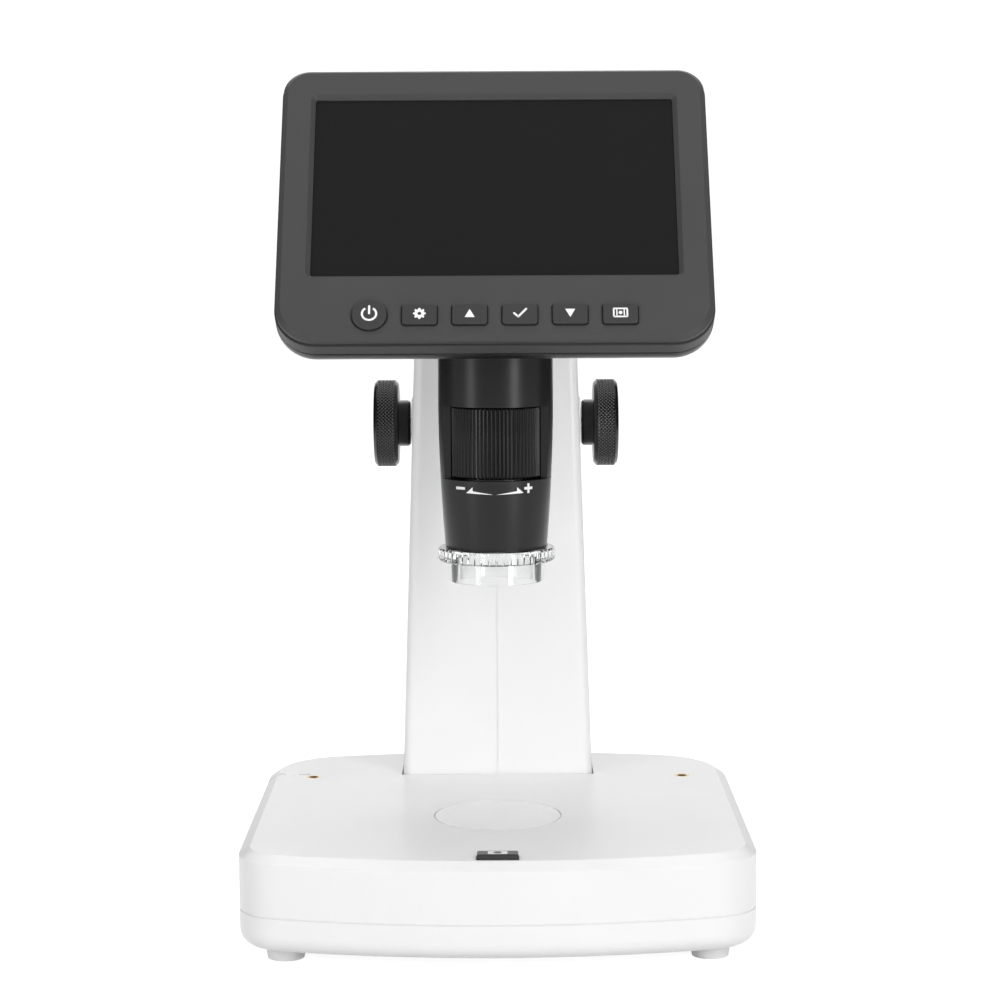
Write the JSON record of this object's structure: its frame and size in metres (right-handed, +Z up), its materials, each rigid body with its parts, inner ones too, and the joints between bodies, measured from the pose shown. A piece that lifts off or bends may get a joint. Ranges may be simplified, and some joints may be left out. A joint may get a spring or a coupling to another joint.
{
  "type": "lcd digital microscope",
  "caption": "Desk digital microscope: tilted screen head with keys and focusing barrel on a rack column over a lit white base.",
  "frame": {"origin": "middle of the base's box at the level of the feet's undersides", "axes": "+Z up, +X to the right of a person facing the screen, +Y to the back"},
  "size_m": [0.14, 0.1414, 0.2387],
  "materials": {
    "white_shell": "smooth satin white moulding",
    "dark_shell": "fine satin charcoal moulding",
    "ribbed_wheel": "black ribbed plastic",
    "black_keys": "gloss black keys with light signs",
    "black_knob": "black, diamond-knurled rim",
    "feet_rubber": "soft matt white rubber",
    "frosted_stage": "glossy frosted acrylic",
    "clear_tip": "clear moulded plastic",
    "screen_glass": "smooth cover glass over a dark screen",
    "lenses": "coated optical glass",
    "dark_panel": "switched-off display",
    "circuit_board": "green solder mask",
    "battery_wrap": "foil wrap",
    "black_small": "plain black plastic",
    "white_inner": "matt white moulding",
    "steel": "plain steel",
    "aluminium": "machined aluminium",
    "brass": "turned brass"
  },
  "bodies": {
    "stand": {"base_top_shell": "white_shell", "base_bottom_tray": "white_shell", "base_feet": "feet_rubber", "base_screws": "steel", "ballast_plate": "steel", "stage_disc": "frosted_stage", "stage_reflector": "white_inner", "stage_light_board": "circuit_board", "clip_sockets": "brass", "snapshot_board": "circuit_board", "base_board": "circuit_board", "dimmer_pot": "black_small", "column_left_shell": "white_shell", "column_right_shell": "white_shell", "column_screws": "steel", "foot_block": "aluminium", "foot_block_screws": "steel", "guide_rods": "steel", "top_rod_mount": "aluminium", "shaft_bushes": "brass"},
    "knobs": {"knob_shaft": "steel", "pinion": "brass", "knob_left": "black_knob", "knob_right": "black_knob", "knob_set_screws": "steel"},
    "head": {"carriage": "aluminium", "carriage_bushes": "brass", "rack": "brass", "head_arm": "aluminium", "arm_screws": "steel", "head_rear_cover": "dark_shell", "head_front_frame": "dark_shell", "screen_glass": "screen_glass", "lcd_panel": "dark_panel", "main_board": "circuit_board", "key_board": "circuit_board", "battery": "battery_wrap", "usb_socket": "steel", "card_socket": "steel", "head_screws": "steel", "barrel_body": "dark_shell", "barrel_nose": "dark_shell", "tip_cover": "clear_tip", "led_ring": "circuit_board", "sensor_board": "circuit_board"},
    "focus_ring": {"focus_wheel": "ribbed_wheel"},
    "lens": {"lens_carrier": "aluminium", "lens_stack": "lenses"},
    "snapshot_key": {"snapshot_button": "black_keys"},
    "dimmer": {"dimmer_wheel": "white_shell"},
    "power_key": {"power_button": "black_keys"},
    "menu_key": {"menu_button": "black_keys"},
    "up_key": {"up_button": "black_keys"},
    "enter_key": {"enter_button": "black_keys"},
    "down_key": {"down_button": "black_keys"},
    "mode_key": {"mode_button": "black_keys"}
  },
  "joints": [
    {"name": "head_slide", "type": "slide", "parent": "stand", "child": "head", "axis": [0, 0, 1], "range_m": [-0.05, 0.006]},
    {"name": "knob_turn", "type": "hinge", "parent": "stand", "child": "knobs", "pos_m": [0, 0.052, 0.1368], "axis": [1, 0, 0], "range_deg": [-54, 448]},
    {"name": "focus_turn", "type": "hinge", "parent": "head", "child": "focus_ring", "pos_m": [0, -0.0167, 0.137], "axis": [0, 0, 1], "range_deg": [-150.5, 150.5]},
    {"name": "lens_slide", "type": "slide", "parent": "head", "child": "lens", "axis": [0, 0, 1], "range_m": [-0.004, 0.004]},
    {"name": "snapshot_press", "type": "slide", "parent": "stand", "child": "snapshot_key", "axis": [0, 0, -1], "range_m": [0, 0.0008], "stiffness_N_per_m": 600, "springref_m": -0.0006},
    {"name": "dimmer_turn", "type": "hinge", "parent": "stand", "child": "dimmer", "pos_m": [-0.0636, 0.0368, 0.025], "axis": [0, 1, 0], "range_deg": [0, 270]},
    {"name": "power_press", "type": "slide", "parent": "head", "child": "power_key", "axis": [0, 0.848, -0.5299], "range_m": [0, 0.0008], "stiffness_N_per_m": 600, "springref_m": -0.0006},
    {"name": "menu_press", "type": "slide", "parent": "head", "child": "menu_key", "axis": [0, 0.848, -0.5299], "range_m": [0, 0.0008], "stiffness_N_per_m": 600, "springref_m": -0.0006},
    {"name": "up_press", "type": "slide", "parent": "head", "child": "up_key", "axis": [0, 0.848, -0.5299], "range_m": [0, 0.0008], "stiffness_N_per_m": 600, "springref_m": -0.0006},
    {"name": "enter_press", "type": "slide", "parent": "head", "child": "enter_key", "axis": [0, 0.848, -0.5299], "range_m": [0, 0.0008], "stiffness_N_per_m": 600, "springref_m": -0.0006},
    {"name": "down_press", "type": "slide", "parent": "head", "child": "down_key", "axis": [0, 0.848, -0.5299], "range_m": [0, 0.0008], "stiffness_N_per_m": 600, "springref_m": -0.0006},
    {"name": "mode_press", "type": "slide", "parent": "head", "child": "mode_key", "axis": [0, 0.848, -0.5299], "range_m": [0, 0.0008], "stiffness_N_per_m": 600, "springref_m": -0.0006}
  ],
  "couplings": [
    {"joint": "knob_turn", "follows": "head_slide", "rad_per_m": -156.25},
    {"joint": "focus_turn", "follows": "lens_slide", "rad_per_m": 654.5}
  ]
}
